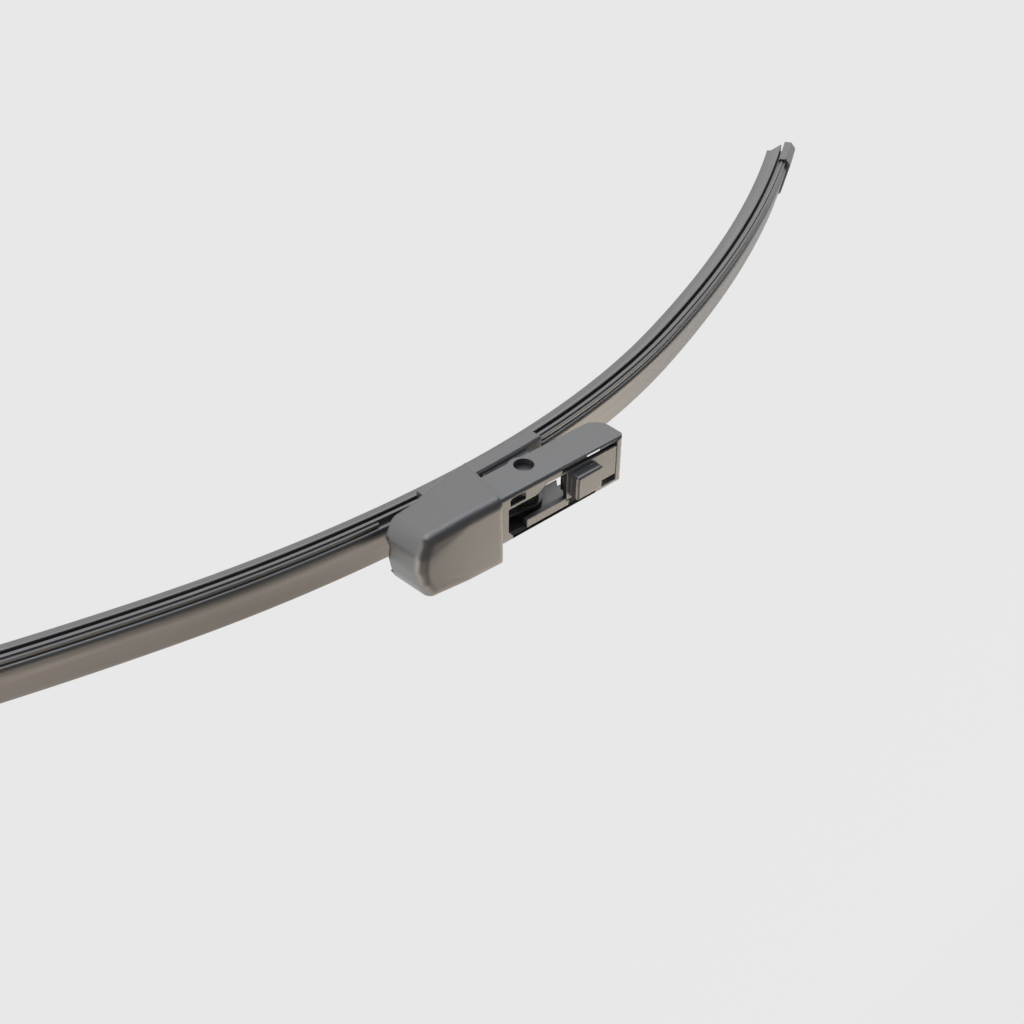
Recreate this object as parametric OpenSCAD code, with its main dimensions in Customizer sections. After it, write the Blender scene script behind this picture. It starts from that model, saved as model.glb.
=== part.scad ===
// Flat wiper blade with a push-button arm adapter.
// X runs along the blade, Y across it and Z away from the glass.
// The origin is the middle of the pivot that joins the adapter to the blade.

/* [Blade curve] */
// X of the top of the blade's curve
apex_x = -12.7; // [-16:0.1:-10]
// Height of the pivot above the tip of the lip, at the top of the curve
lip_drop = 14.3; // [14.2:0.1:16]
// Length of the blade along its curve, left of the top
left_len = 176; // [120:0.1:260]
// Length of the blade along its curve, right of the top
right_len = 203.7; // [120:0.1:260]
// Radius of the left side, near the adapter
left_near_r = 300; // [220:5:600]
// Angle through which the left side keeps that radius
left_near_angle = 12; // [8:1:18]
// Radius of the left side, out to its end
left_far_r = 600; // [300:10:1200]
// Radius of the right side, near the adapter
right_near_r = 240; // [200:5:600]
// Angle through which the right side keeps that radius
right_near_angle = 19; // [12:1:26]
// Radius of the right side, out to its end
right_far_r = 520; // [300:10:1200]

/* [Wiper rubber] */
// Thickness of the lip at its tip
lip_t = 0.6; // [0.4:0.05:0.9]
// Height of the thin part of the lip
lip_h = 1.1; // [0.6:0.1:1.6]
// Width of the wedge above the lip
wedge_w = 5.0; // [4:0.1:5.6]
// Height of the wedge's slope
wedge_h = 2.8; // [2:0.1:3.4]
// Height of the wedge's upright shoulder
shoulder_h = 0.4; // [0.2:0.05:0.8]
// Thickness of the neck on which the wedge tips over
neck_t = 1.0; // [0.7:0.05:1.4]
// Height of the neck
neck_h = 0.7; // [0.4:0.05:1]
// Width of the flange under the rails
flange_w = 4.4; // [3.6:0.1:4.6]
// Height of the flange
flange_h = 0.55; // [0.4:0.05:0.8]
// Thickness of the web between the rails
web_t = 1.1; // [0.8:0.05:1.4]
// Width of the head that holds the spoiler
head_w = 1.9; // [1.6:0.05:2]
// Height of the head
head_h = 0.35; // [0.25:0.05:0.45]

/* [Spring rails] */
// Width of each rail
rail_w = 2.2; // [1.8:0.1:2.4]
// Thickness of each rail
rail_t = 0.8; // [0.6:0.05:1]
// Length of rail that the rubber outruns at each end
rail_inset = 2; // [1:0.5:6]
// Room left round a rail in its groove
rail_play = 0.05; // [0.03:0.01:0.08]

/* [Spoiler] */
// Height of the crest above the rails
crest_h = 1.6; // [1.5:0.05:2.2]
// Distance of the crest from the middle of the blade
crest_y = 1.05; // [0.95:0.05:1.15]
// Reach of the wing from the middle of the blade
wing_reach = 7.75; // [6.5:0.05:9]
// Drop of the wing's edge below the crest
wing_drop = 1.75; // [1.4:0.05:1.9]
// Thickness of the wing at its edge
wing_t = 0.8; // [0.6:0.05:1]
// Radius of the wing's hollow face
wing_hollow_r = 48; // [44:1:120]
// Thickness of the lips that reach under the rubber's head
catch_t = 0.2; // [0.15:0.01:0.25]
// Gap between each spoiler and the connector
spoiler_gap = 1.8; // [1:0.1:4]
// Length of the notch in the left spoiler's upright side
notch_len = 8.5; // [4:0.5:14]

/* [End caps] */
// Length of each cap over the rails
cap_len = 13; // [9:0.5:20]
// Thickness of a cap's end wall
cap_end_t = 1.6; // [1.2:0.1:2.5]
// Thickness of a cap's side walls beyond the spoiler
cap_wall = 0.6; // [0.5:0.05:1]

/* [Connector] */
// X of the connector's left end
connector_x0 = -20.6; // [-25:0.1:-18]
// X of the connector's right end
connector_x1 = 10.2; // [8:0.1:14]
// Width of the connector across the rails
connector_w = 9.2; // [8.4:0.1:9.4]
// Height of the connector above the rails
connector_h = 2.35; // [1.8:0.05:2.6]
// Thickness of the claws under the rails
claw_t = 0.4; // [0.3:0.05:0.5]
// Thickness of the ear on the side without the wing
ear_upper_t = 1.2; // [1:0.1:1.3]
// Thickness of the ear on the wing's side
ear_lower_t = 1.8; // [1.2:0.1:1.9]
// Clear width between the ears
ear_gap = 4.4; // [4:0.1:4.6]
// Radius of the ears round the pivot
ear_r = 3.9; // [3.4:0.1:4.1]
// Thickness of the guide plate beside the lower ear
guide_t = 0.45; // [0.35:0.05:0.6]
// Reach of the guide plate to the left of the pivot
guide_reach = 8.9; // [6:0.1:9.5]
// Half of the ears' length where they meet the connector
ear_foot = 7; // [5:0.5:9]

/* [Pivot] */
// Diameter of the pivot pin
pin_d = 4.2; // [3.6:0.1:4.6]
// Distance from the middle to the pin's end in the open bore
pin_y1 = 4.6; // [4.2:0.1:5.2]
// Distance from the middle to the pin's end on the wing's side
pin_y0 = 5.4; // [5:0.1:5.8]
// Radial clearance of the pin in what turns on it
pin_play = 0.06; // [0.03:0.01:0.1]
// Wall of the bush between the ears
bush_wall = 1; // [0.7:0.05:1.2]
// Clearance at each end of the bush
bush_end_play = 0.05; // [0.03:0.01:0.1]

/* [Adapter frame] */
// Width of the adapter, which the arm's channel goes over
adapter_w = 12; // [11.6:0.1:12.6]
// X of the adapter's free end
adapter_x1 = 23.2; // [22.5:0.1:26]
// X of the adapter's end inside the hood
adapter_x0 = -28.6; // [-29.5:0.1:-26]
// Height of the outer face above the pivot
outer_z = 6; // [5.6:0.1:6.4]
// Depth of the side walls below the pivot
skirt_z = 2.4; // [1.8:0.1:2.6]
// Thickness of the adapter's walls
wall = 1.1; // [0.9:0.05:1.3]
// Radius of the folds along the outer face
fold_r = 1; // [0.6:0.05:1.2]
// Radius of the free end on the glass side
toe_r = 4; // [2:0.1:4.5]
// Radius of the free end on the outer side
brow_r = 1.2; // [0.6:0.1:2]
// Radius of the bosses round the pivot
boss_r = 3.6; // [3:0.1:4]
// Gap between each boss and its ear
boss_gap = 0.2; // [0.1:0.05:0.4]
// X of the left edge of the windows
window_x0 = -9.4; // [-10.5:0.1:-8.6]
// Depth of the groove along the far edge of the outer face
groove_depth = 0.8; // [0.4:0.1:0.9]
// Length of the bar that ties the free end together
end_bar_len = 2; // [1.5:0.1:3]
// Depth of that bar, which closes the free end
end_bar_depth = 5; // [3:0.1:6]
// Height of the relief in the far side wall above the glass side, under the button
relief_h = 1.8; // [1:0.1:2.5]
// Length of that relief
relief_len = 5; // [3:0.1:7]

/* [Release button] */
// X of the button's left side
button_x0 = 7.9; // [7.4:0.1:8.4]
// Length of the button
button_len = 7.4; // [6:0.1:8]
// Width of the button
button_w = 5.9; // [5:0.1:6]
// Height of the button above the outer face
button_h = 2; // [1.2:0.1:2.6]
// Depth of the button's block below the outer face
button_depth = 3.2; // [1.6:0.1:3.4]
// Radius of the button's edges
button_r = 0.7; // [0.4:0.05:1]
// Gap round the tongue that carries the button
tongue_gap = 0.2; // [0.15:0.05:0.3]
// X of the tongue's free tip
tongue_x0 = 6.5; // [6.3:0.1:7]

/* [Hood] */
// Reach of the hood from the middle to the side without the wing, at the mouth
hood_y1 = 8.4; // [8:0.1:9]
// The same at the nose
nose_y1 = 7.2; // [7:0.1:7.8]
// Reach of the hood from the middle to the wing's side, at the mouth
hood_y0 = 8.9; // [8.4:0.1:9.2]
// The same at the nose
nose_y0 = 8.6; // [8:0.1:8.9]
// X of the middle of the nose
nose_x = -33.4; // [-35:0.1:-32.5]
// X of the nose's corners
nose_corner_x = -31.5; // [-32.5:0.1:-31]
// X of the hood's mouth at the outer face
hood_mouth_x = -12.8; // [-13.5:0.1:-12]
// Height of the outer face above the pivot, at the mouth
hood_z = 8.2; // [7.9:0.1:8.6]
// Height of the outer face above the pivot, at the nose
nose_z = 7.4; // [7.2:0.1:8]
// Radius of the nose and of the fold on the side without the wing
hood_r = 2.3; // [1.9:0.1:2.6]
// Radius of the fold on the wing's side, at the mouth
hood_lower_r = 1.6; // [1.5:0.1:2.3]
// Wall of the hood
hood_wall = 1.3; // [1.1:0.05:1.4]
// How far the mouth leans forward towards the glass, per millimetre
mouth_lean = 0.17; // [0:0.01:0.25]
// Depth of the hood's rim below the pivot, at the mouth
rim_z = 6.1; // [5:0.1:6.4]
// Depth of the rim below the pivot, at the nose
nose_rim_z = 3; // [2:0.1:3.6]
// Height of the shallow arch in the end wall's rim
arch_h = 1.4; // [0.5:0.1:2]
// Reach of that arch's flat top from the middle, on the side without the wing
arch_y1 = 1.7; // [1:0.1:1.8]
// Reach of the arch from the middle, on the wing's side
arch_y0 = 5.6; // [4:0.1:6]

/* [Hidden] */
$fn = 96;
sweep_fn = 720;
far = 60;
eps = 0.01;

rubber_colour = "#2b2b2d";
steel_colour = "#3a3b3d";
plastic_colour = "#232427";

// Heights in the blade's section, measured up from the tip of the lip
slope_top = lip_h + wedge_h;
neck_foot = slope_top + shoulder_h;
flange_foot = neck_foot + neck_h;
flange_top = flange_foot + flange_h;
rail_foot = flange_top + rail_play;
rail_top = rail_foot + rail_t;
base = rail_top + rail_play;
head_foot = base + catch_t + rail_play;
head_top = head_foot + head_h;
cavity_top = head_top + 2 * rail_play;
crest = base + crest_h;
wing_edge = crest - wing_drop;
connector_top = base + connector_h;

// Distances across the blade's section, measured from its middle
rail_y0 = web_t / 2 + rail_play;
rail_y1 = rail_y0 + rail_w;
claw_y = flange_w / 2 + 0.15;
ledge_y = rail_y1 - 0.35;

left_arcs = [[left_near_r, left_near_angle], [left_far_r, 90]];
right_arcs = [[right_near_r, right_near_angle], [right_far_r, 90]];

// Angle turned at the start of an arc, and the arc's centre
function turned(arcs, i) = i == 0 ? 0 : turned(arcs, i - 1) + arcs[i - 1][1];
function centre(arcs, i) = i == 0 ? [0, -arcs[0][0]] :
  centre(arcs, i - 1) + (arcs[i - 1][0] - arcs[i][0]) * [sin(turned(arcs, i)), cos(turned(arcs, i))];

// Angle turned after a length along the curve, to a thousandth of a degree
function arc_len(arc) = arc[0] * arc[1] * PI / 180;
function turn(arcs, s) = round(1000 * (s <= arc_len(arcs[0]) ? s / arcs[0][0] * 180 / PI :
  arcs[0][1] + (s - arc_len(arcs[0])) / arcs[1][0] * 180 / PI)) / 1000;

// Length along the near arc at which the blade reaches a given X
function near_len(arcs, x) = asin(abs(x - apex_x) / arcs[0][0]) * arcs[0][0] * PI / 180;
connector_left_s = near_len(left_arcs, connector_x0);
connector_right_s = near_len(right_arcs, connector_x1);

// Sections are drawn with X across the blade and Y away from the glass

// A shift made in whole, thousandth and smaller steps, so that it keeps its decimals
function stepped(v, unit) = [for (c = v) round(c / unit) * unit];
module shift(v) {
  whole = stepped(v, 1);
  part = stepped(v - whole, 0.001);
  translate(whole) translate(part) translate(v - whole - part) children();
}

// Carries a section along a chain of arcs, between two lengths along the curve
module swept(arcs, from, to) {
  low = turn(arcs, from);
  high = turn(arcs, to);
  for (i = [0 : len(arcs) - 1]) {
    a0 = max(low, turned(arcs, i));
    a1 = min(high, turned(arcs, i) + arcs[i][1]);
    c = centre(arcs, i);
    if (a1 > a0)
      shift([c[0], 0, c[1]]) rotate([90, 0, 0])
        rotate_extrude(angle = a1 - a0, start = 90 - a1, $fn = sweep_fn)
          translate([arcs[i][0], 0]) rotate(-90) children();
  }
}
module along_right(from, to) translate([apex_x, 0, -lip_drop]) swept(right_arcs, from, to) children();
module along_left(from, to)
  translate([apex_x, 0, -lip_drop]) mirror([1, 0, 0]) swept(left_arcs, from, to) children();

// Puts a solid on the curve, with its X along the blade and its Z away from the glass
module stood(arcs, s) {
  a = turn(arcs, s);
  i = a > arcs[0][1] ? 1 : 0;
  c = centre(arcs, i);
  translate([c[0] + arcs[i][0] * sin(a), 0, c[1] + arcs[i][0] * cos(a)]) rotate([0, a, 0]) children();
}

module block(x0, x1, y0, y1, z0, z1) translate([x0, y0, z0]) cube([x1 - x0, y1 - y0, z1 - z0]);
module box2(x0, x1, y0, y1) translate([x0, y0]) square([x1 - x0, y1 - y0]);

// Turns a drawing made with X along the blade and Y up into a slab across the blade
module side_slab(y0, y1) translate([0, y1, 0]) rotate([90, 0, 0]) linear_extrude(height = y1 - y0) children();
// Turns a drawing made with X across the blade and Y up into a bar along the blade
module bar(x0, x1) translate([x0, 0, 0]) rotate([90, 0, 90]) linear_extrude(height = x1 - x0) children();

module rubber_section() {
  half = [[lip_t / 2, 0], [lip_t / 2, lip_h], [wedge_w / 2, slope_top], [wedge_w / 2, neck_foot],
          [neck_t / 2, neck_foot], [neck_t / 2, flange_foot], [flange_w / 2, flange_foot],
          [flange_w / 2, flange_top], [web_t / 2, flange_top], [web_t / 2, head_foot],
          [head_w / 2, head_foot], [head_w / 2, head_top]];
  polygon(concat(half, [for (i = [len(half) - 1 : -1 : 0]) [-half[i][0], half[i][1]]]));
}

module wiper_rubber() color(rubber_colour) union() {
  along_right(0, right_len) rubber_section();
  along_left(0, left_len) rubber_section();
}

module rail(side) color(steel_colour) union() {
  along_right(0, right_len - rail_inset) rail_section(side);
  along_left(0, left_len - rail_inset) rail_section(side);
}
module rail_section(side) mirror([side > 0 ? 0 : 1, 0]) box2(rail_y0, rail_y1, rail_foot, rail_top);
module spring_rail_upper() rail(1);
module spring_rail_lower() rail(-1);

// The spoiler clips under the lower rail and over the rubber's head
module spoiler_section() difference() {
  polygon([[ledge_y, base], [ledge_y, base + 0.6], [ledge_y - 0.15, base + 0.75],
           [ledge_y - 0.5, base + 0.75], [ledge_y - 0.6, base + 0.4], [crest_y + 0.35, base + 0.4],
           [crest_y + 0.25, crest - 0.3], [crest_y, crest],
           [0.3 - wing_reach, wing_edge], [-wing_reach, wing_edge - 0.25],
           [0.05 - wing_reach, wing_edge - wing_t + 0.15], [0.35 - wing_reach, wing_edge - wing_t],
           [-rail_y1 - 0.6, base - 0.4], [-rail_y1 - 0.55, rail_foot - 0.35],
           [-rail_y1 - 0.3, rail_foot - 0.55], [-claw_y, rail_foot - 0.55], [-claw_y, rail_foot - 0.1],
           [-rail_y1 - 0.1, rail_foot - 0.1], [-rail_y1 - 0.1, base]]);
  box2(-web_t / 2 - 0.1, web_t / 2 + 0.1, base - 1, base + catch_t + eps);
  box2(-head_w / 2 - 0.1, head_w / 2 + 0.1, base + catch_t, cavity_top);
  wing_hollow();
}
module wing_hollow() {
  run = crest_y + wing_reach - 0.3;
  chord = norm([run, wing_drop]);
  rise = sqrt(pow(wing_hollow_r, 2) - pow(chord / 2, 2));
  middle = [crest_y - run / 2, crest - wing_drop / 2];
  translate(middle + rise / chord * [-wing_drop, run]) circle(r = wing_hollow_r, $fn = 360);
}
module spoiler_left() color(rubber_colour) difference() {
  along_left(connector_left_s + spoiler_gap, left_len - cap_len - 0.2) spoiler_section();
  along_left(connector_left_s, connector_left_s + spoiler_gap + notch_len)
    box2(crest_y + 0.37, ledge_y + 1, base - 0.1, crest + 1);
}
module spoiler_right() color(rubber_colour)
  along_right(connector_right_s + spoiler_gap, right_len - cap_len - 0.2) spoiler_section();

// Each cap is a moulded box over the ends of the rails and the rubber's head
module cap_section() polygon([
  [rail_y1 + cap_wall, rail_foot - 0.35], [rail_y1 + cap_wall, base + 0.7],
  [crest_y + 0.6, crest + cap_wall - 0.15], [crest_y, crest + cap_wall],
  [-wing_reach, wing_edge + cap_wall], [-wing_reach - cap_wall, wing_edge - 0.1],
  [-wing_reach - cap_wall + 0.1, wing_edge - wing_t - 0.1], [-wing_reach + 0.3, wing_edge - wing_t - 0.35],
  [-rail_y1 - cap_wall - 0.4, rail_foot - 0.35], [-rail_y1 - cap_wall, rail_foot - 0.6],
  [rail_y1 + cap_wall - 0.3, rail_foot - 0.6]]);
module cap_pocket() {
  box2(-rail_y1 - 0.1, rail_y1 + 0.1, rail_foot - 0.1, base + 0.05);
  box2(-head_w / 2 - 0.1, head_w / 2 + 0.1, base, cavity_top);
  box2(-claw_y, claw_y, base - 3, rail_foot);
}
module cap(arcs, blade_len) difference() {
  intersection() {
    swept(arcs, blade_len - cap_len, blade_len + cap_end_t) cap_section();
    stood(arcs, blade_len) translate([cap_end_t - 22, -wing_reach / 3, 0]) cylinder(r = 22, h = 14, $fn = 180);
  }
  swept(arcs, blade_len - cap_len - 1, blade_len + 0.1) cap_pocket();
}
module end_cap_right() color(plastic_colour) translate([apex_x, 0, -lip_drop]) cap(right_arcs, right_len);
module end_cap_left() color(plastic_colour)
  translate([apex_x, 0, -lip_drop]) mirror([1, 0, 0]) cap(left_arcs, left_len);

// The connector grips both rails and carries the ears of the pivot
module connector_section() difference() {
  half = connector_w / 2;
  foot = rail_foot - 0.1 - claw_t;
  polygon([[half, foot + 0.3], [half, connector_top - 0.5], [half - 0.5, connector_top],
           [0.5 - half, connector_top], [-half, connector_top - 0.5], [-half, foot + 0.3],
           [0.3 - half, foot], [half - 0.3, foot]]);
  box2(-rail_y1 - 0.08, rail_y1 + 0.08, rail_foot - 0.1, base + 0.03);
  box2(-head_w / 2 - 0.15, head_w / 2 + 0.15, base, cavity_top + 0.1);
  box2(-claw_y, claw_y, foot - 1, rail_foot);
}
ear_foot_z = connector_top - lip_drop - 1.5;
module ear_outline() {
  polygon([[-ear_foot, ear_foot_z], [ear_foot, ear_foot_z], [ear_r, 0], [-ear_r, 0]]);
  circle(r = ear_r);
}

// A thin plate beside the lower ear keeps the arm's sheet out of the pivot
module guide_outline() {
  polygon([[-ear_foot, ear_foot_z], [0, ear_foot_z], [0, ear_r], [-1.6, ear_r - 0.15],
           [0.6 - guide_reach, ear_r - 1.15], [-guide_reach, ear_r - 1.75], [-guide_reach, 0.5]]);
}
module connector() color(plastic_colour) difference() {
  union() {
    along_right(0, connector_right_s) connector_section();
    along_left(0, connector_left_s) connector_section();
    side_slab(ear_gap / 2, ear_gap / 2 + ear_upper_t) ear_outline();
    side_slab(-ear_gap / 2 - ear_lower_t, -ear_gap / 2) ear_outline();
    side_slab(-ear_gap / 2 - guide_t, -ear_gap / 2) guide_outline();
  }
  rotate([90, 0, 0]) cylinder(d = pin_d, h = far, center = true);
}

module pivot_pin() color(steel_colour) translate([0, pin_y1, 0]) rotate([90, 0, 0])
  cylinder(d = pin_d, h = pin_y0 + pin_y1);

module pivot_bush() color(steel_colour) rotate([90, 0, 0]) difference() {
  cylinder(r = pin_d / 2 + pin_play + bush_wall, h = ear_gap - 2 * bush_end_play, center = true);
  cylinder(r = pin_d / 2 + pin_play, h = far, center = true);
}

// The adapter is a channel, open towards the glass and at its free end
module adapter_side() {
  polygon([[adapter_x0, 1 - skirt_z], [adapter_x0 + 3, -skirt_z], [adapter_x1 - toe_r, -skirt_z],
           [adapter_x1, toe_r - skirt_z], [adapter_x1, outer_z - brow_r], [adapter_x1 - brow_r, outer_z],
           [adapter_x0, outer_z]]);
  translate([adapter_x1 - toe_r, toe_r - skirt_z]) circle(r = toe_r);
  translate([adapter_x1 - brow_r, outer_z - brow_r]) circle(r = brow_r);
}
module folded_section(half, top, r) {
  box2(-half, half, -far, top - r);
  box2(r - half, half - r, -far, top);
  for (side = [-1, 1]) translate([side * (half - r), top - r]) circle(r = r);
}
bar_y = -2.6;
bar_x0 = -4.4;
slot_y0 = -4.7;
slot_y1 = 5.5;
tongue_y0 = -3.25;
tongue_y1 = 4.35;
slot_x1 = adapter_x1 - end_bar_len;
window_low = 2.5;
window_high = 3.95;
window_bend_x0 = -2.3;
window_bend_x1 = 1.4;
window_bottom = -4.55;

// The big window's edge swings from one level to the other in a smooth bend
module main_window() {
  bend = [for (t = [0 : 0.125 : 1])
    [window_bend_x0 + t * (window_bend_x1 - window_bend_x0),
     window_low + (window_high - window_low) * (1 - cos(180 * t)) / 2]];
  polygon(concat([[window_x0, window_low]], bend,
    [[tongue_x0, window_high], [tongue_x0, bar_y], [bar_x0, bar_y], [bar_x0, window_bottom],
     [window_x0 + 1.1, window_bottom], [window_x0, window_bottom + 1.4]]));
}
module small_window() {
  r = 0.7;
  x0 = window_x0 + 0.5;
  x1 = window_x0 + 4.6;
  box2(x0, x1, window_low + 0.6, 4.95 - r);
  box2(x0 + r, x1 - r, window_low + 0.6, 4.95);
  for (x = [x0 + r, x1 - r]) translate([x, 4.95 - r]) circle(r = r);
}
module tongue_slot() {
  box2(tongue_x0 - 1.2, slot_x1, tongue_y1 - eps, slot_y1);
  box2(tongue_x0 + 0.8, slot_x1, slot_y0, tongue_y0 + eps);
  box2(tongue_x0 - eps, slot_x1, tongue_y0, tongue_y1);
}
module adapter_frame() color(plastic_colour) difference() {
  union() {
    difference() {
      intersection() {
        side_slab(-adapter_w / 2, adapter_w / 2) adapter_side();
        bar(adapter_x0 - 1, adapter_x1 + 1) folded_section(adapter_w / 2, outer_z, fold_r);
      }
      block(adapter_x0 + wall, slot_x1, wall - adapter_w / 2, adapter_w / 2 - wall, -far, outer_z - wall);
      block(slot_x1 - eps, far, wall - adapter_w / 2, adapter_w / 2 - wall, -far, outer_z - end_bar_depth);
    }
    side_slab(ear_gap / 2 + ear_upper_t + boss_gap, adapter_w / 2 - wall / 2) circle(r = boss_r);
    side_slab(wall / 2 - adapter_w / 2, -ear_gap / 2 - ear_lower_t - boss_gap) circle(r = boss_r);
  }
  translate([0, 0, outer_z - 2 * wall]) linear_extrude(height = far) {
    main_window();
    small_window();
    tongue_slot();
  }
  block(window_x0 + 1.2, button_x0 + button_len, slot_y0 - 0.85, slot_y0 + 0.12, outer_z - groove_depth, far);
  side_slab(-far, -2) polygon([
    [button_x0 + 2.4, relief_h - skirt_z], [button_x0 + 2.4 + relief_len, relief_h - skirt_z],
    [button_x0 + 2.4 + relief_len, -far], [button_x0 + 3.8, -far], [button_x0 + 3.8, -skirt_z]]);
  rotate([90, 0, 0]) cylinder(r = pin_d / 2 + pin_play, h = far, center = true);
}

// The button stands on a tongue that springs from the bar at the free end
module rounded_rect(x0, x1, y0, y1, r) {
  box2(x0 + r, x1 - r, y0, y1);
  box2(x0, x1, y0 + r, y1 - r);
  for (x = [x0 + r, x1 - r], y = [y0 + r, y1 - r]) translate([x, y]) circle(r = r);
}
module button_block() {
  x1 = button_x0 + button_len;
  y0 = tongue_y0 + tongue_gap;
  y1 = y0 + button_w;
  z0 = outer_z - button_depth;
  z1 = outer_z + button_h;
  intersection() {
    translate([0, 0, z0]) linear_extrude(height = z1 - z0) rounded_rect(button_x0, x1, y0, y1, button_r);
    side_slab(y0, y1) {
      rounded_rect(button_x0, x1, z0, z1, button_r);
      box2(button_x0, x1, z0, z0 + button_r);
    }
    bar(button_x0, x1) {
      rounded_rect(y0, y1, z0, z1, button_r);
      box2(y0, y1, z0, z0 + button_r);
    }
  }
}
module release_button() color(plastic_colour) union() {
  block(tongue_x0 + tongue_gap, slot_x1 - tongue_gap, tongue_y0 + tongue_gap, tongue_y1 - tongue_gap,
        outer_z - wall, outer_z);
  button_block();
}

// The hood covers the adapter's root and the end of the arm. Its skin is rolled over balls:
// a row along each fold, and an arc of them round the nose.
module ball_post(x, y, top, r, inset, lean) hull() {
  translate([x, y, top - r]) sphere(r = max(r - inset, 0.2), $fn = 40);
  translate([x - lean, y, -far / 4]) sphere(r = max(r - inset, 0.2), $fn = 40);
}

module hood_body(inset) {
  nose_lean = 1.8;
  nose_low = hood_r - nose_y0;
  nose_high = nose_y1 - hood_r;
  nose_mid = (nose_low + nose_high) / 2;
  mid_x = (nose_corner_x + hood_mouth_x) / 2 + 1;
  mid_low_r = (hood_r + hood_lower_r) / 2;
  mid_top = (hood_z + nose_z) / 2 + 0.2;
  hull() {
    ball_post(nose_x + hood_r, nose_mid, nose_z + 0.1, hood_r, inset, nose_lean);
    for (y = [nose_low, nose_high]) {
      ball_post(nose_x * 0.75 + nose_corner_x * 0.25 + hood_r, (y + nose_mid) / 2, nose_z + 0.1, hood_r, inset,
                nose_lean);
      ball_post(nose_corner_x + hood_r, y, nose_z, hood_r, inset, nose_lean);
    }
    ball_post(mid_x, (hood_y1 + nose_y1) / 2 + 0.35 - hood_r, mid_top, hood_r, inset, 0);
    ball_post(mid_x, mid_low_r - (hood_y0 + nose_y0) / 2, mid_top, mid_low_r, inset, 0);
    ball_post(hood_mouth_x + 6, hood_y1 - hood_r, hood_z + 0.1, hood_r, inset, 0);
    ball_post(hood_mouth_x + 6, hood_lower_r - hood_y0, hood_z + 0.1, hood_lower_r, inset, 0);
  }
}
module hood() color(plastic_colour) difference() {
  intersection() {
    hood_body(0);
    side_slab(-far, far) polygon([
      [hood_mouth_x, hood_z], [hood_mouth_x - 3, far], [-far, far], [-far, -nose_rim_z],
      [nose_corner_x + 4, -nose_rim_z], [hood_mouth_x + mouth_lean * (hood_z + rim_z), -rim_z]]);
  }
  hood_body(hood_wall);
  bar(-far, nose_corner_x + 3) polygon([
    [-arch_y0, -far], [-arch_y0, arch_h - nose_rim_z], [arch_y1, arch_h - nose_rim_z],
    [arch_y1 + arch_h, -nose_rim_z], [arch_y1 + arch_h, -far]]);
}

wiper_rubber();
spring_rail_upper();
spring_rail_lower();
spoiler_left();
spoiler_right();
end_cap_left();
end_cap_right();
connector();
pivot_pin();
pivot_bush();
adapter_frame();
release_button();
hood();
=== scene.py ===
# %% [markdown]
# # A flat wiper blade
# The blade is a long curved rubber on two steel strips, with a rubber spoiler along its back. In its
# middle a moulded adapter with a hood and a release button waits for the wiper arm. The CAD solids
# come in as the frame. This script gives them their surfaces, rounds the moulded ones, sweeps the long
# profiles again with soft corners, and sets the light and the camera.

import bmesh
import bpy
import numpy as np
from mathutils import Matrix, Vector


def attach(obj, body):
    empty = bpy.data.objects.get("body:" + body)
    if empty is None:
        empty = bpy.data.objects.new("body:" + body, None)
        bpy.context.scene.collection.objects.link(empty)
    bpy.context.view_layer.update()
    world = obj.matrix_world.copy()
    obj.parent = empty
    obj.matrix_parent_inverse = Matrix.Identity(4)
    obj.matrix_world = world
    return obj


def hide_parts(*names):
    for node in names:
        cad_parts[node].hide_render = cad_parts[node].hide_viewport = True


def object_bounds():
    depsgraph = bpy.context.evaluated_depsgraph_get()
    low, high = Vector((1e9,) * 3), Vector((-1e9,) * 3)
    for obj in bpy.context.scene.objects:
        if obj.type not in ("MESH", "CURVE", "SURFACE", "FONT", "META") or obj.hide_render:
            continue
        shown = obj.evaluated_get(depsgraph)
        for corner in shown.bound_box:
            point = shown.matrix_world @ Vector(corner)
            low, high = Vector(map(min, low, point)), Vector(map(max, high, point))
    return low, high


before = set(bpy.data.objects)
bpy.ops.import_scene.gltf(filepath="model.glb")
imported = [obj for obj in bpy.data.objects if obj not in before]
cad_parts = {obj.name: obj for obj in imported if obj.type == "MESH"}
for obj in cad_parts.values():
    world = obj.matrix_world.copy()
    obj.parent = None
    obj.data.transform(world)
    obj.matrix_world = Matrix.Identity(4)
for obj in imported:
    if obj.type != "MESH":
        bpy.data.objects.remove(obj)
cad_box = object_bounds()
print("CAD box, metres:", cad_box)

# %% [markdown]
# ## Colours and nodes
# A picture's colours are stored in sRGB, and the renderer reckons in linear light, so one function
# turns a hex value into linear numbers. A second one adds a node with its settings and its links,
# and every material below is built with it.

# %% Two small helpers
def linear(hex_value):
    """sRGB hex to linear RGBA: each channel c becomes c/12.92 below 0.04045, else ((c+0.055)/1.055)^2.4."""
    c = np.array([int(hex_value[i:i + 2], 16) for i in (1, 3, 5)]) / 255
    low, high = c / 12.92, ((c + 0.055) / 1.055) ** 2.4
    return (*(float(x) for x in np.where(c <= 0.04045, low, high)), 1.0)


def add(tree, kind, settings=None, **links):
    """One node of that kind, with its settings, and its inputs linked to sockets or set to values."""
    n = tree.nodes.new(kind)
    for key, value in (settings or {}).items():
        setattr(n, key, value)
    for key, value in links.items():
        name = key.replace("_", " ")
        socket = n.inputs[int(key[1:])] if key[1:].isdigit() else n.inputs[name]
        if isinstance(value, bpy.types.NodeSocket):
            tree.links.new(value, socket)
        else:
            socket.default_value = value
    return n


MM = 0.001
print("plastic grey in linear light:", linear("#77787B")[:3])

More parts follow.
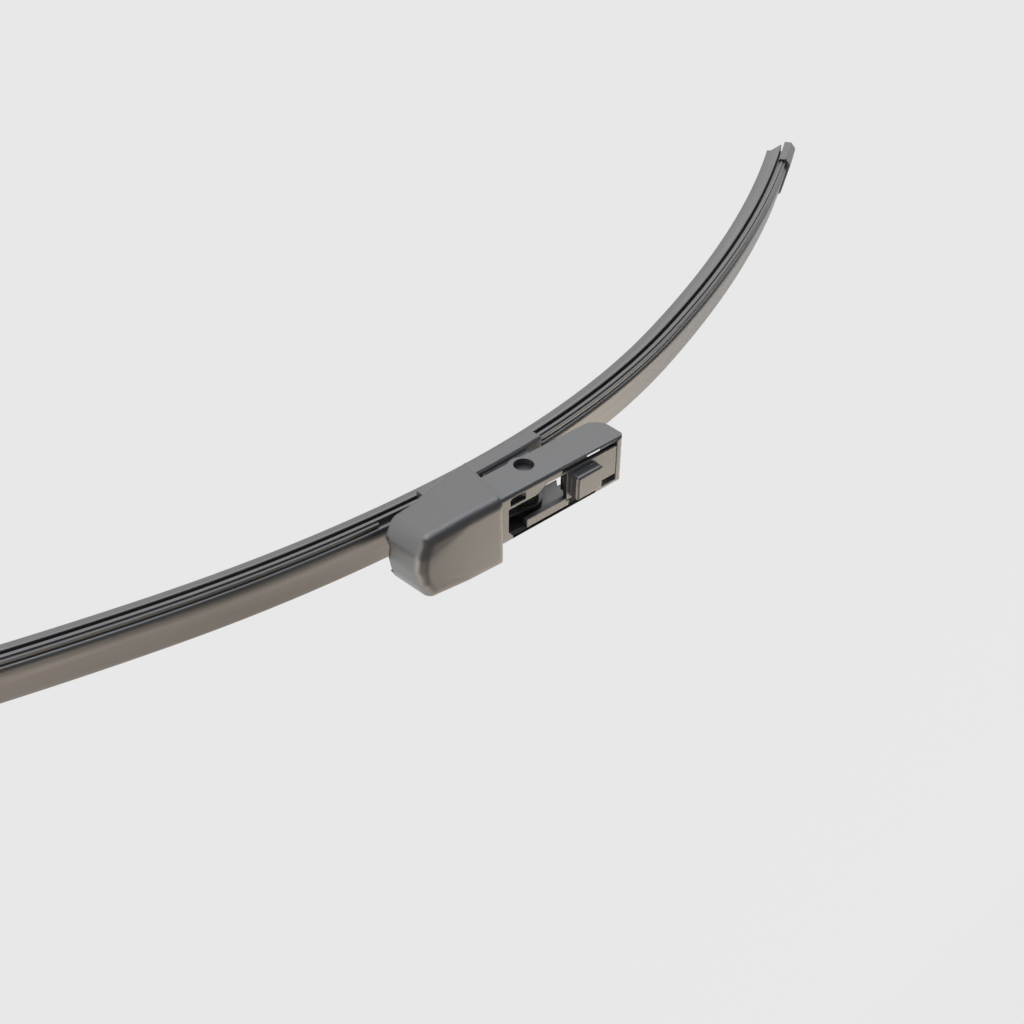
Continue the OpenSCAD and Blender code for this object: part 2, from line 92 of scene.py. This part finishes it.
# %% [markdown]
# ## One recipe for satin black surfaces
# Every visible surface here is a black polymer or a black-coated steel. What tells them apart is the
# size and direction of their texture: plastic has the round grain of a spark-eroded mould, and rubber
# has streaks along the extrusion, and steel strip has fine rolling lines. So the recipe takes two
# colours, a pattern stretched by its real sizes along X, Y and Z, and two roughness values. Real
# edges are never razor sharp, and the Bevel node rounds them in the shading. Ambient occlusion tells
# how open a point is, and recesses get painted shade: darker and duller. The sheen in the photo is stronger
# than the 1.5 to 1.6 of bare plastic gives, so the index of refraction is set higher.

# %% Satin surface recipe
SHEEN_IOR = 1.95
RECESS_MM = 3
# Colour of the painted shade in recesses.
RECESS_SHADE_COLOUR = "#1C1B1A"


def satin(name, dark, light, grain_mm, cloud_mm, rough, bump_mm, edge_mm=0.15, painted_shade_keep=0.5,
          swept_along=False):
    """A surface whose colour runs between two hex values in slow clouds, while a fine grain of the
    given size in mm along X, Y and Z lifts the surface by bump_mm and spreads the roughness. Edges
    look rounded to edge_mm. On a swept piece X is the length along the curve, so streaks bend with it.
    Narrow recesses get painted shade: the less open a point is within RECESS_MM, the more its colour
    turns to a shade colour and the duller it is, down to the given least part of its own colour."""
    m = bpy.data.materials.new(name)
    m.use_nodes = True
    t = m.node_tree
    t.nodes.clear()
    if swept_along:
        where = add(t, "ShaderNodeAttribute", {"attribute_name": "along"}).outputs["Vector"]
    else:
        where = add(t, "ShaderNodeTexCoord").outputs["Object"]
    fine_at = add(t, "ShaderNodeMapping", Vector=where,
                  Scale=tuple(1 / (g * MM) for g in grain_mm)).outputs[0]
    slow_at = add(t, "ShaderNodeMapping", Vector=where,
                  Scale=tuple(1 / (g * MM) for g in cloud_mm)).outputs[0]
    fine = add(t, "ShaderNodeTexNoise", Vector=fine_at, Scale=1.0, Detail=2.0).outputs["Fac"]
    slow = add(t, "ShaderNodeTexNoise", Vector=slow_at, Scale=1.0, Detail=3.0).outputs["Fac"]
    both = add(t, "ShaderNodeMath", {"operation": "MULTIPLY_ADD"}, i0=fine, i1=0.35, i2=slow)
    ramp = add(t, "ShaderNodeValToRGB", Fac=both.outputs[0])
    ramp.color_ramp.elements[0].position = 0.45
    ramp.color_ramp.elements[0].color = linear(dark)
    ramp.color_ramp.elements[1].position = 0.9
    ramp.color_ramp.elements[1].color = linear(light)
    spread = add(t, "ShaderNodeMapRange", Value=fine, i1=0.3, i2=0.7, i3=rough[0], i4=rough[1])
    openness = add(t, "ShaderNodeAmbientOcclusion", {"samples": 4}, Distance=RECESS_MM * MM).outputs["AO"]
    # Painted shade: the less open a point, the nearer its colour comes to the shade colour and the weaker its
    # reflection.
    unshaded = add(t, "ShaderNodeMapRange", Value=openness, i1=0.3, i2=0.85, i3=painted_shade_keep,
                i4=1.0).outputs[0]
    colour = add(t, "ShaderNodeMix", {"data_type": "RGBA"}, i0=unshaded, i6=linear(RECESS_SHADE_COLOUR),
                 i7=ramp.outputs["Color"]).outputs[2]
    edge = add(t, "ShaderNodeBevel", {"samples": 6}, Radius=edge_mm * MM)
    lift = add(t, "ShaderNodeBump", Height=fine, Distance=bump_mm * MM, Strength=1.0,
               Normal=edge.outputs[0])
    bsdf = add(t, "ShaderNodeBsdfPrincipled", Base_Color=colour, Roughness=spread.outputs[0],
               Normal=lift.outputs[0], IOR=SHEEN_IOR, Specular_IOR_Level=unshaded)
    add(t, "ShaderNodeOutputMaterial", Surface=bsdf.outputs[0])
    return m


# %% [markdown]
# ## The finishes
# Two plastics, two rubbers and two steels. Each takes its pattern's sizes from how the real thing is
# made, and every CAD solid gets one of them.

# %% The finishes
# Glass-filled PBT, moulded black: a spark-eroded mould leaves grain of about 0.05 mm. It is drawn at
# 0.35 mm, the finest that still shows at this distance.
GRAIN, CLOUD = (0.35, 0.35, 0.35), (14, 9, 9)
moulded = satin("moulded_black_pbt", "#3F4043", "#4A4B4E", GRAIN, CLOUD, (0.3, 0.42), 0.01, edge_mm=0.3)
# The hood comes from another mould and is a little darker. Its folds are broad, and edge_mm is large
# enough to blend their facets.
hood_plastic = satin("moulded_black_hood_pbt", "#363638", "#424244", GRAIN, CLOUD, (0.3, 0.42), 0.01,
                     edge_mm=1.4)
# The hood's rounded edges get the same plastic, paler and shinier: the paler colour is a painted highlight
# along its rims.
painted_rim_highlight = satin("painted_highlight_pbt_edge", "#6E6E6F", "#7C7C7D", GRAIN, CLOUD, (0.24, 0.32), 0.004, edge_mm=0.05)
# Extruded wiper rubber with a graphite coat: long streaks from the die, 0.2 mm apart.
graphite_rubber = satin("extruded_graphite_rubber", "#343436", "#464648", (26, 0.22, 0.22), (60, 3, 3),
                        (0.32, 0.45), 0.005, edge_mm=0.12, painted_shade_keep=0.9, swept_along=True)
# Extruded spoiler rubber: the same streaks, softer and a little warmer in colour.
spoiler_rubber = satin("extruded_spoiler_rubber", "#33302E", "#423F3C", (22, 0.35, 0.35), (45, 4, 4),
                       (0.32, 0.44), 0.003, edge_mm=0.15, painted_shade_keep=0.9, swept_along=True)
# Spring steel strip, rolled and painted black.
painted_steel = satin("painted_spring_steel", "#37383B", "#4A4B4F", (8, 0.15, 0.15), (30, 5, 5),
                      (0.26, 0.36), 0.004, edge_mm=0.1, painted_shade_keep=0.9, swept_along=True)
# Pivot pin and bush: blackened, turned steel.
blackened_steel = satin("blackened_turned_steel", "#2B2C2F", "#404144", (0.2, 3, 0.2), (3, 3, 3),
                        (0.28, 0.4), 0.004, edge_mm=0.1)
finish_of = {
    "wiper_rubber": graphite_rubber, "spoiler_left": spoiler_rubber, "spoiler_right": spoiler_rubber,
    "spring_rail_upper": painted_steel, "spring_rail_lower": painted_steel,
    "pivot_pin": blackened_steel, "pivot_bush": blackened_steel}
for node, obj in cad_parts.items():
    for s in obj.material_slots:
        s.material = finish_of.get(node, moulded)
print("finishes:", len(bpy.data.materials))

# %% [markdown]
# ## Moulded skins with soft edges
# A moulded part has no sharp edge. The hood, the adapter, the button, the connector and the end caps
# come in as solids with crisp corners and small facets on their folds. Each gets a welded copy: its
# faces share their normals where they meet at a shallow angle, so the folds shade as one curve, and a
# Bevel modifier rounds the edges that are really sharp.

# %% Welded copies with rounded edges
WELD_M, FLAT_DEG = 1e-6, 0.3


def moulded_skin(node, body, materials, round_mm, crease_deg=30, clamp=True):
    """A copy of a CAD node: vertices nearer than WELD_M become one, regions flat to FLAT_DEG become
    one face, edges whose faces meet at less than crease_deg shade smooth, and all others are rounded to
    round_mm by the Bevel modifier, in the last of the materials. With clamp, short edges nearby keep
    the rounding smaller, so that it can't cross itself. Normals are weighted by face area, so a flat
    face stays flat up to its fold."""
    bm = bmesh.new()
    bm.from_mesh(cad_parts[node].data)
    bmesh.ops.remove_doubles(bm, verts=bm.verts, dist=WELD_M)
    bmesh.ops.dissolve_limit(bm, angle_limit=np.radians(FLAT_DEG), verts=bm.verts, edges=bm.edges)
    for f in bm.faces:
        f.smooth = True
    weight = bm.edges.layers.float.new("bevel_weight_edge")
    for e in bm.edges:
        sharp = len(e.link_faces) != 2 or e.calc_face_angle(0.0) > np.radians(crease_deg)
        e.smooth = not sharp
        e[weight] = 1.0 if sharp and len(e.link_faces) == 2 else 0.0
    me = bpy.data.meshes.new(node + "_skin")
    bm.to_mesh(me)
    bm.free()
    me.materials.clear()
    for m in materials:
        me.materials.append(m)
    o = bpy.data.objects.new(node + "_skin", me)
    bpy.context.collection.objects.link(o)
    rounding = o.modifiers.new("soft_edges", "BEVEL")
    rounding.limit_method, rounding.width, rounding.segments = "WEIGHT", round_mm * MM, 3
    rounding.harden_normals, rounding.use_clamp_overlap = False, clamp
    rounding.material = len(materials) - 1
    even = o.modifiers.new("even_normals", "WEIGHTED_NORMAL")
    even.keep_sharp, even.weight = True, 100
    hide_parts(node)
    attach(o, body)
    print(o.name, len(me.polygons), "faces")


# The hood's rounded edges take the last material, whose paler colour paints a highlight along its rims.
moulded_skin("hood", "adapter", [hood_plastic, painted_rim_highlight], 0.22, clamp=False)
moulded_skin("release_button", "button", [moulded], 0.45)
moulded_skin("adapter_frame", "adapter", [moulded], 0.15)
moulded_skin("connector", "blade", [moulded], 0.12)
for side in ("left", "right"):
    moulded_skin("end_cap_" + side, "blade", [moulded], 0.2)

# %% [markdown]
# ## The curve that the blade follows
# Pressed flat on the glass, the blade is straight. Free, its spring rails bend it towards the glass
# in two arcs on each side of its highest point. A place on the blade is a length along that curve and
# a height above the tip of the rubber's lip, and one function turns the two into X and Z.

# %% Arcs of the free blade
APEX_X, LIP_DROP = -12.7, 14.3
LEFT_ARCS = (300, 12, 600)
RIGHT_ARCS = (240, 19, 520)
LEFT_LEN, RIGHT_LEN = 176.0, 203.7


def on_curve(length, height):
    """X and Z in metres from arrays in mm: the length along the curve, negative on the left, and the
    height above the lip. On an arc of radius R the angle turned grows by length / R, and the point is
    the arc's centre plus (R + height) times (sin, cos) of that angle."""
    run = np.abs(length)
    near_r, near_deg, far_r = (np.where(length < 0, a, b) for a, b in zip(LEFT_ARCS, RIGHT_ARCS))
    near_turn = np.radians(near_deg)
    far = run > near_r * near_turn
    angle = np.where(far, near_turn + (run - near_r * near_turn) / far_r, run / near_r)
    radius = np.where(far, far_r, near_r)
    x = (near_r - radius) * np.sin(near_turn) + (radius + height) * np.sin(angle)
    z = (near_r - radius) * np.cos(near_turn) + (radius + height) * np.cos(angle) - near_r
    return (APEX_X + np.sign(length) * x) * MM, (z - LIP_DROP) * MM


print("ends of the lip (m):", on_curve(np.array([-LEFT_LEN, RIGHT_LEN]), 0.0))

# %% [markdown]
# ## Sweeping a section
# A section is drawn as an outline with X across the blade and Y up from the glass. Its corners are cut
# to soft curves, and rings of it are set along the curve and joined by quads.

# %% Soft outlines and sweeps
def soft_outline(corners, steps=6):
    """A closed outline in mm from corners (y, height, cut before, cut after). Each corner gives way to
    a quadratic curve from the point that far before it to the point that far after it:
    (1-t)^2 start + 2t(1-t) corner + t^2 end."""
    c = np.array(corners, float)
    here = c[:, :2]

    def towards(other, cut):
        way = other - here
        return here + way / np.linalg.norm(way, axis=1)[:, None] * cut[:, None]

    start = towards(np.roll(here, 1, axis=0), c[:, 2])
    end = towards(np.roll(here, -1, axis=0), c[:, 3])
    t = np.linspace(0, 1, steps)[None, :, None]
    curve = (1 - t) ** 2 * start[:, None] + 2 * t * (1 - t) * here[:, None] + t ** 2 * end[:, None]
    return curve.reshape(-1, 2)


def swept(name, node, outline, low, high, material, spacing=2.0, crease_deg=40):
    """The outline carried along the blade between two lengths in rings about spacing apart, closed by
    a flat face at each end. The attribute "along" keeps each point's length, Y and height in metres.
    Edges that turn by crease_deg or more stay sharp. It rides on the blade in the place of the node."""
    rings, n = int(np.ceil((high - low) / spacing)) + 1, len(outline)
    length = np.repeat(np.linspace(low, high, rings), n)
    x, z = on_curve(length, np.tile(outline[:, 1], rings))
    points = np.stack([x, np.tile(outline[:, 0], rings) * MM, z], axis=1)
    ring, k = np.meshgrid(np.arange(rings - 1), np.arange(n), indexing="ij")
    a, b = ring * n + k, ring * n + (k + 1) % n
    quads = np.stack([a, b, b + n, a + n], axis=-1).reshape(-1, 4)
    ends = [np.arange(n)[::-1], np.arange((rings - 1) * n, rings * n)]
    me = bpy.data.meshes.new(name)
    me.from_pydata(points.tolist(), [], quads.tolist() + [e.tolist() for e in ends])
    along = np.stack([length, points[:, 1] / MM, np.tile(outline[:, 1], rings)], axis=1) * MM
    me.attributes.new("along", "FLOAT_VECTOR", "POINT").data.foreach_set("vector", along.ravel())
    bm = bmesh.new()
    bm.from_mesh(me)
    bmesh.ops.recalc_face_normals(bm, faces=bm.faces)
    for f in bm.faces:
        f.smooth = len(f.verts) == 4
    for e in bm.edges:
        e.smooth = bool(e.calc_face_angle(0.0) < np.radians(crease_deg))
    bm.to_mesh(me)
    bm.free()
    me.materials.append(material)
    o = bpy.data.objects.new(name, me)
    bpy.context.collection.objects.link(o)
    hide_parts(node)
    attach(o, "blade")
    print(name, rings, "rings of", n, "points")


# %% [markdown]
# ## Rubber and rails
# The wiper rubber is one extrusion: a thin lip that bends under a wedge, a neck on which the wedge
# tips over at each turn, a flange, and a head that holds the spoilers. On each side of its web lies
# a flat spring rail. All corners of such sections come out of the tools a little round.

# %% Wiper rubber and spring rails
RAIL_FOOT, BASE = 5.6, 6.45
RAIL_INSET = 2
half = [(0.3, 0, 0.05, 0.05), (0.3, 1.1, 0.5, 0.5), (2.5, 3.9, 0.25, 0.12), (2.5, 4.3, 0.12, 0.12),
        (0.5, 4.3, 0.2, 0.2), (0.5, 5.0, 0.2, 0.2), (2.2, 5.0, 0.12, 0.12), (2.2, 5.55, 0.12, 0.12),
        (0.55, 5.55, 0.08, 0.08), (0.55, 6.7, 0.05, 0.05), (0.95, 6.7, 0.05, 0.05), (0.95, 7.05, 0.08, 0.08)]
other_half = [(-y, height, after, before) for y, height, before, after in reversed(half)]
swept("wiper_rubber_skin", "wiper_rubber", soft_outline(half + other_half, 4), -LEFT_LEN, RIGHT_LEN,
      graphite_rubber)
rail = [(0.6, RAIL_FOOT, 0.15, 0.15), (2.8, RAIL_FOOT, 0.15, 0.15), (2.8, 6.4, 0.15, 0.15),
        (0.6, 6.4, 0.15, 0.15)]
for node, side in (("spring_rail_upper", 1), ("spring_rail_lower", -1)):
    corners = [(side * y, height, before, after) for y, height, before, after in rail]
    swept(node + "_skin", node, soft_outline(corners, 5), RAIL_INSET - LEFT_LEN, RIGHT_LEN - RAIL_INSET,
          painted_steel)

# %% [markdown]
# ## The rubber spoilers
# A spoiler is one extrusion too. A claw reaches under the lower rail, a ledge rests on the upper one,
# and a channel runs beside the crest. From the crest a thin wing slopes down. The crest is broadly
# rounded, so the wing's face darkens softly towards the channel. Beside the connector the left spoiler
# has its ledge cut off, so it is swept in two stretches. Both spoilers end short of the rubber's ends,
# where the caps sit.

# %% Spoilers
CREST, WING_EDGE = BASE + 1.6, BASE - 0.15
ledge = [(2.45, BASE, 0.05, 0.05), (2.45, BASE + 0.75, 0.15, 0.15), (1.9, BASE + 0.75, 0.1, 0.1),
         (1.82, BASE + 0.4, 0.08, 0.1)]
notch = [(1.42, BASE, 0.05, 0.05)]
wing = [(1.38, BASE + 0.4, 0.08, 0.1), (1.12, CREST, 0.85, 2.6), (-3.2, CREST - 1.0, 1.7, 3.2),
        (-7.75, WING_EDGE, 0.5, 0.2), (-7.72, WING_EDGE - 0.78, 0.2, 0.3), (-3.4, BASE - 0.4, 0.4, 0.3),
        (-3.3, RAIL_FOOT - 0.55, 0.25, 0.2), (-2.35, RAIL_FOOT - 0.55, 0.1, 0.05),
        (-2.35, RAIL_FOOT - 0.1, 0.05, 0.05), (-2.9, RAIL_FOOT - 0.1, 0.05, 0.05), (-2.9, BASE, 0.05, 0.05)]
grip = [(-0.65, 0), (-0.65, 0.2), (-1.05, 0.2), (-1.05, 0.7), (1.05, 0.7), (1.05, 0.2), (0.65, 0.2), (0.65, 0)]
grip = [(y, BASE + rise, 0.03, 0.03) for y, rise in grip]
LEFT_START, NOTCH_END, RIGHT_START = 9.7, 18.2, 24.74
SPOILER_INSET = 13.2
swept("spoiler_left_skin", "spoiler_left", soft_outline(ledge + wing + grip),
      SPOILER_INSET - LEFT_LEN, -NOTCH_END, spoiler_rubber)
swept("spoiler_left_root", "spoiler_left", soft_outline(notch + wing + grip),
      -NOTCH_END, -LEFT_START, spoiler_rubber)
swept("spoiler_right_skin", "spoiler_right", soft_outline(ledge + wing + grip),
      RIGHT_START, RIGHT_LEN - SPOILER_INSET, spoiler_rubber)

# %% [markdown]
# ## The stage
# The object floats over a plain pale ground in the photo, without a clear shadow. The floor lies just
# under the blade's lowest point. It shows the camera one pale colour with a faint trace of shadow, and
# in gloss it is white. All other rays meet a plain diffuse surface, which sends soft light up under the
# blade.

# %% Floor and backdrop
def pale_ground(name, hex_value, kept_shadow):
    """A pale diffuse surface that camera rays see mostly as one plain colour, and gloss rays as white."""
    m = bpy.data.materials.new(name)
    m.use_nodes = True
    t = m.node_tree
    t.nodes.clear()
    path = add(t, "ShaderNodeLightPath")
    seen = add(t, "ShaderNodeMath", {"operation": "MAXIMUM"},
               i0=path.outputs["Is Camera Ray"], i1=path.outputs["Is Glossy Ray"])
    part = add(t, "ShaderNodeMath", {"operation": "MULTIPLY"}, i0=seen.outputs[0], i1=1 - kept_shadow)
    plain = add(t, "ShaderNodeBsdfDiffuse", Color=linear("#B4B4B4"))
    tone = add(t, "ShaderNodeMix", {"data_type": "RGBA"}, i0=path.outputs["Is Glossy Ray"],
               i6=linear(hex_value), i7=linear("#FFFFFF")).outputs[2]
    glow = add(t, "ShaderNodeEmission", Color=tone, Strength=1.0)
    mix = add(t, "ShaderNodeMixShader", Fac=part.outputs[0], i1=plain.outputs[0], i2=glow.outputs[0])
    add(t, "ShaderNodeOutputMaterial", Surface=mix.outputs[0])
    return m


def flat_piece(name, corners, material):
    """A plane through four corners, in metres."""
    me = bpy.data.meshes.new(name)
    me.from_pydata(corners, [], [(0, 1, 2, 3)])
    me.materials.append(material)
    o = bpy.data.objects.new(name, me)
    bpy.context.collection.objects.link(o)
    return o


FLOOR_GAP_MM, REACH = 0.5, 6.0
floor_z = cad_box[0][2] - FLOOR_GAP_MM * MM
ground = pale_ground("pale_ground", "#ECECEC", 0.05)
floor = flat_piece("floor", [(-REACH, -REACH, floor_z), (REACH, -REACH, floor_z),
                             (REACH, REACH, floor_z), (-REACH, REACH, floor_z)], ground)
print("floor at", round(floor_z, 4), "m")

# %% [markdown]
# ## World and lamps
# Glossy black shows what it mirrors more than its own colour. The side across the blade mirrors the
# floor, and the outer face mirrors a wide warm wall behind the wing. The folds between them mirror the
# dark room, with two cool panels low on the near side that draw a light line where a fold starts. Three
# smaller lamps on the left fill the hood's nose.

# %% World and lamps
world = bpy.data.worlds.new("soft_room")
bpy.context.scene.world = world
world.use_nodes = True
wt = world.node_tree
wt.nodes.clear()
wpath = add(wt, "ShaderNodeLightPath")
room = add(wt, "ShaderNodeBackground", Color=linear("#FFFFFF"), Strength=0.12)
seen_room = add(wt, "ShaderNodeBackground", Color=linear("#EBEBEB"), Strength=1.0)
wmix = add(wt, "ShaderNodeMixShader", Fac=wpath.outputs["Is Camera Ray"],
           i1=room.outputs[0], i2=seen_room.outputs[0])
add(wt, "ShaderNodeOutputWorld", Surface=wmix.outputs[0])


def softbox(name, at, towards, width, height, radiance, hex_value):
    """A flat lamp of the given width and height at one point, facing another. Its watts follow from
    its radiance: power = pi x area x radiance."""
    lamp = bpy.data.lights.new(name, "AREA")
    lamp.shape, lamp.size, lamp.size_y = "RECTANGLE", width, height
    lamp.energy = np.pi * width * height * radiance
    lamp.color = linear(hex_value)[:3]
    o = bpy.data.objects.new(name, lamp)
    bpy.context.collection.objects.link(o)
    aim = (Vector(towards) - Vector(at)).to_track_quat("-Z", "Y")
    o.matrix_world = Matrix.Translation(at) @ aim.to_matrix().to_4x4()


PIVOT = (0, 0, 0)
softbox("warm_wall_right", (1.3, -0.95, 0.6), (1.3, 0, 0.6), 1.6, 1.1, 1.95, "#FFF1E0")
softbox("warm_wall_left", (-0.425, -0.95, 0.3), (-0.425, 0, 0.3), 1.85, 0.5, 1.25, "#FFEEDC")
softbox("nose_light", (-0.8, -0.68, 0.3), PIVOT, 0.8, 0.6, 0.6, "#FFEEDC")
softbox("corner_light", (-0.36, -0.8, 0.97), PIVOT, 0.45, 0.45, 0.8, "#FFEEDC")
softbox("left_panel", (-1.2, -0.3, 0.05), PIVOT, 0.9, 0.5, 2.2, "#FFF0E0")
softbox("cool_panel", (0.25, 1.1, 0.2), (0.25, 0, 0.2), 2.4, 0.5, 1.4, "#F0F5FF")
softbox("top_panel", (-0.5, 1.2, -0.05), PIVOT, 0.9, 0.5, 2.0, "#F0F5FF")

# %% [markdown]
# ## The camera
# The photo looks at the adapter from outside the glass, from the side without the wing and from
# behind the hood, with the blade rising to the right. The camera stands about 26 cm from the
# pivot, and it is rolled, so the line across the blade points up in the picture.

# %% Camera
right = Vector((0.74896, 0.0, 0.66262))
up = Vector((0.40795, 0.78801, -0.46110))
back = Vector((-0.52215, 0.61566, 0.59018))
place = Vector((-0.14207, 0.15906, 0.15695))
lens = bpy.data.cameras.new("photo_lens")
lens.sensor_width, lens.lens, lens.clip_start = 36.0, 44.83, 0.01
camera = bpy.data.objects.new("photo_camera", lens)
bpy.context.collection.objects.link(camera)
camera.matrix_world = Matrix((
    (right[0], up[0], back[0], place[0]),
    (right[1], up[1], back[1], place[1]),
    (right[2], up[2], back[2], place[2]),
    (0, 0, 0, 1)))
bpy.context.scene.camera = camera
bpy.context.scene.view_settings.view_transform = "Standard"
print("camera", round(place.length * 1000), "mm from the pivot")

# %% [markdown]
# ## The end

# %% The end
print("scene set up")
